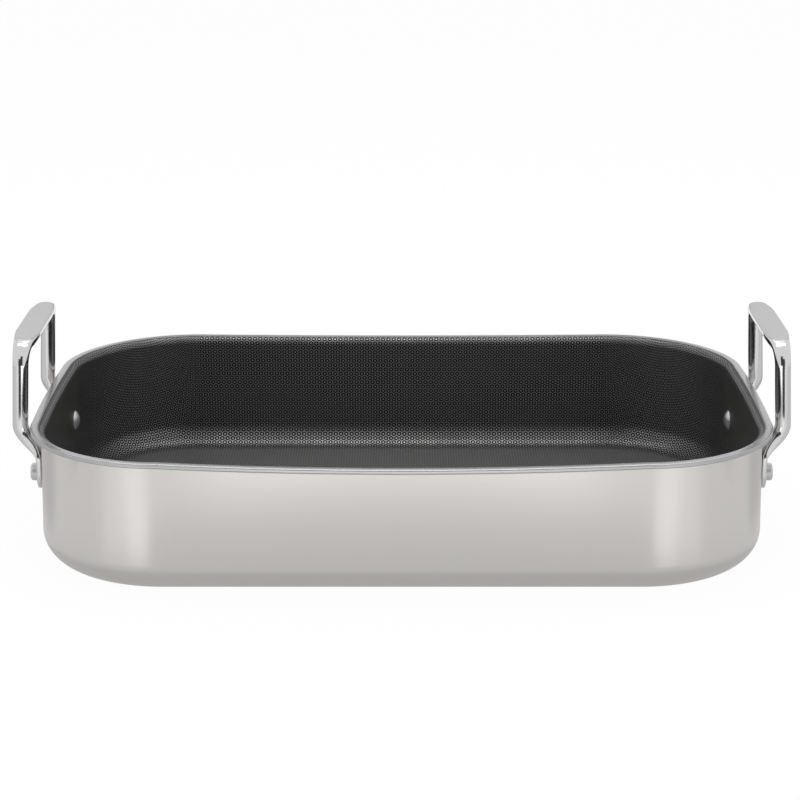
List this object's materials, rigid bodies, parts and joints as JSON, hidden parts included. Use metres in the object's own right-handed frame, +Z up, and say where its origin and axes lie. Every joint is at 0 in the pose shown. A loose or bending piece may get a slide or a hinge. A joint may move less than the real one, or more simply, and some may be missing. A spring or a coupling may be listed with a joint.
{
  "type": "roasting pan",
  "caption": "Rectangular clad-sheet roasting pan with rounded corners, a pouring lip, a dark coated inside and a riveted upright loop handle at each end.",
  "frame": {"origin": "middle of the flat underside of the pan, at the level of the surface that it stands on", "axes": "+X along the pan's length towards the right handle, +Y across the pan towards its rear wall, +Z up out of the pan"},
  "size_m": [0.4224, 0.261, 0.1149],
  "materials": {
    "outer_steel": "satin-brushed stainless steel with a polished lip",
    "core_aluminium": "mill aluminium, bonded between the steel layers and seen only at the cut edge of the lip",
    "coated_steel": "stainless steel under a dark nonstick coating, etched with a fine repeating cell pattern; bare polished steel on the lip",
    "handle_steel": "mirror-polished cast stainless steel with a satin flat on top of the grip",
    "rivet_steel": "plain stainless steel, lightly polished"
  },
  "bodies": {
    "root": {"pan_outer_steel": "outer_steel", "pan_core": "core_aluminium", "pan_inner_coated": "coated_steel", "handle_left": "handle_steel", "handle_right": "handle_steel", "rivet_left_front": "rivet_steel", "rivet_left_rear": "rivet_steel", "rivet_right_front": "rivet_steel", "rivet_right_rear": "rivet_steel"}
  },
  "joints": []
}
